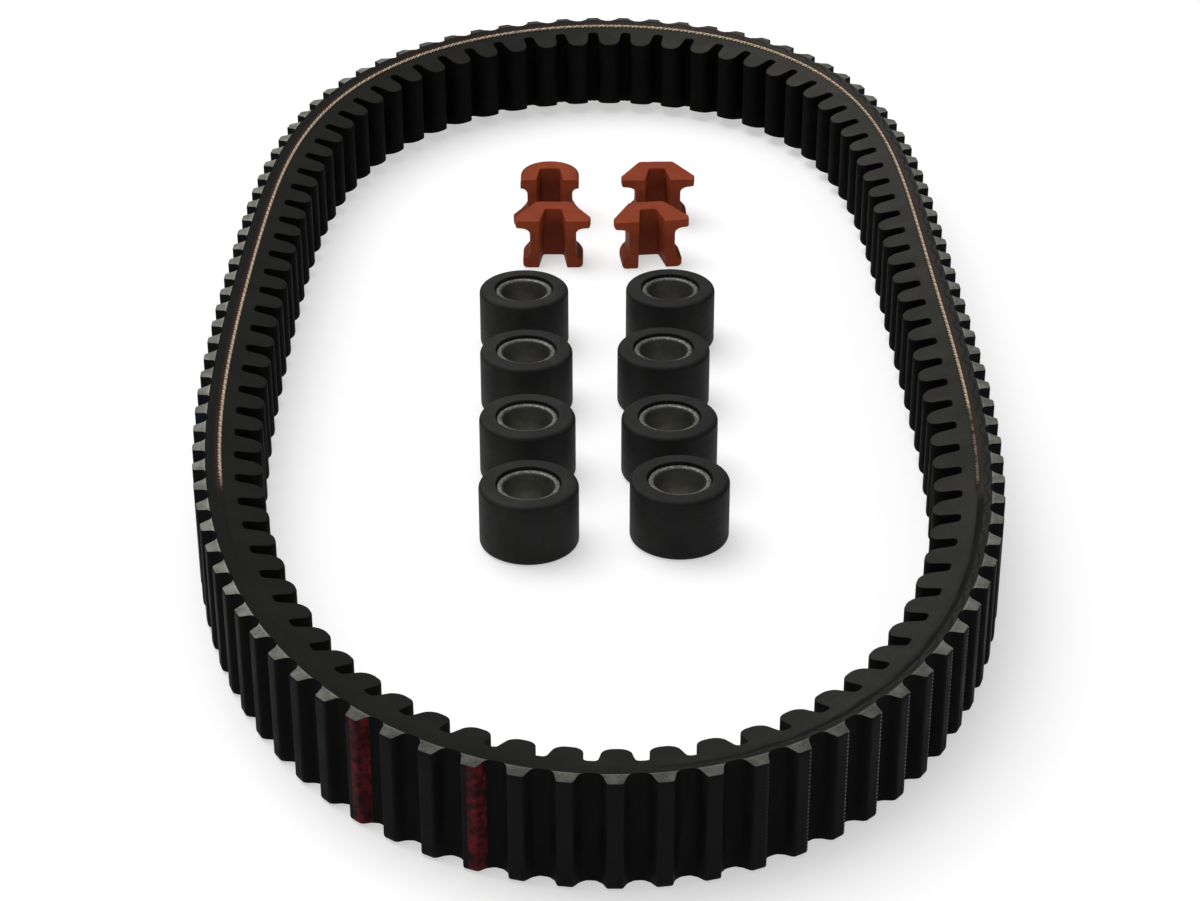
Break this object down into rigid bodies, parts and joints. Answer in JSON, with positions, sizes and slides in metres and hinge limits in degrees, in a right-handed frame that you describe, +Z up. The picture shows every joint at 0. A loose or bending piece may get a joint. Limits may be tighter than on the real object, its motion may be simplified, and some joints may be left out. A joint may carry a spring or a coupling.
{
  "type": "cvt belt and roller set",
  "caption": "Double-cogged V-belt standing on edge as an oval loop, with hollow cylindrical roller weights and slotted slider shoes standing on end inside it.",
  "frame": {"origin": "under the middle of the belt loop, on the surface that the belt, rollers and sliders stand on", "axes": "+Z up, along the rollers' axes; +Y along the loop's length, from the rollers towards the sliders; +X to the right when looking along +Y"},
  "size_m": [0.2032, 0.4346, 0.0278],
  "materials": {
    "belt_rubber": "matte moulded rubber",
    "adhesion_rubber": "ground matte rubber",
    "tension_cord": "twisted aramid cord",
    "roller_sleeve": "matte moulded polymer",
    "roller_core": "turned satin metal",
    "slider": "matte moulded polymer"
  },
  "bodies": {
    "belt": {"belt_overcord": "belt_rubber", "belt_tension_cord": "tension_cord", "belt_adhesion_rubber": "adhesion_rubber", "belt_undercord": "belt_rubber"},
    "roller_1": {"roller_1_sleeve": "roller_sleeve", "roller_1_core": "roller_core"},
    "roller_2": {"roller_2_sleeve": "roller_sleeve", "roller_2_core": "roller_core"},
    "roller_3": {"roller_3_sleeve": "roller_sleeve", "roller_3_core": "roller_core"},
    "roller_4": {"roller_4_sleeve": "roller_sleeve", "roller_4_core": "roller_core"},
    "roller_5": {"roller_5_sleeve": "roller_sleeve", "roller_5_core": "roller_core"},
    "roller_6": {"roller_6_sleeve": "roller_sleeve", "roller_6_core": "roller_core"},
    "roller_7": {"roller_7_sleeve": "roller_sleeve", "roller_7_core": "roller_core"},
    "roller_8": {"roller_8_sleeve": "roller_sleeve", "roller_8_core": "roller_core"},
    "slider_1": {"slider_1": "slider"},
    "slider_2": {"slider_2": "slider"},
    "slider_3": {"slider_3": "slider"},
    "slider_4": {"slider_4": "slider"}
  },
  "joints": [
    {"name": "roller_1_lift", "type": "slide", "parent": "belt", "child": "roller_1", "axis": [0, 0, 1], "range_m": [0, 0.03]},
    {"name": "roller_2_lift", "type": "slide", "parent": "belt", "child": "roller_2", "axis": [0, 0, 1], "range_m": [0, 0.03]},
    {"name": "roller_3_lift", "type": "slide", "parent": "belt", "child": "roller_3", "axis": [0, 0, 1], "range_m": [0, 0.03]},
    {"name": "roller_4_lift", "type": "slide", "parent": "belt", "child": "roller_4", "axis": [0, 0, 1], "range_m": [0, 0.03]},
    {"name": "roller_5_lift", "type": "slide", "parent": "belt", "child": "roller_5", "axis": [0, 0, 1], "range_m": [0, 0.03]},
    {"name": "roller_6_lift", "type": "slide", "parent": "belt", "child": "roller_6", "axis": [0, 0, 1], "range_m": [0, 0.03]},
    {"name": "roller_7_lift", "type": "slide", "parent": "belt", "child": "roller_7", "axis": [0, 0, 1], "range_m": [0, 0.03]},
    {"name": "roller_8_lift", "type": "slide", "parent": "belt", "child": "roller_8", "axis": [0, 0, 1], "range_m": [0, 0.03]},
    {"name": "slider_1_lift", "type": "slide", "parent": "belt", "child": "slider_1", "axis": [0, 0, 1], "range_m": [0, 0.03]},
    {"name": "slider_2_lift", "type": "slide", "parent": "belt", "child": "slider_2", "axis": [0, 0, 1], "range_m": [0, 0.03]},
    {"name": "slider_3_lift", "type": "slide", "parent": "belt", "child": "slider_3", "axis": [0, 0, 1], "range_m": [0, 0.03]},
    {"name": "slider_4_lift", "type": "slide", "parent": "belt", "child": "slider_4", "axis": [0, 0, 1], "range_m": [0, 0.03]}
  ]
}
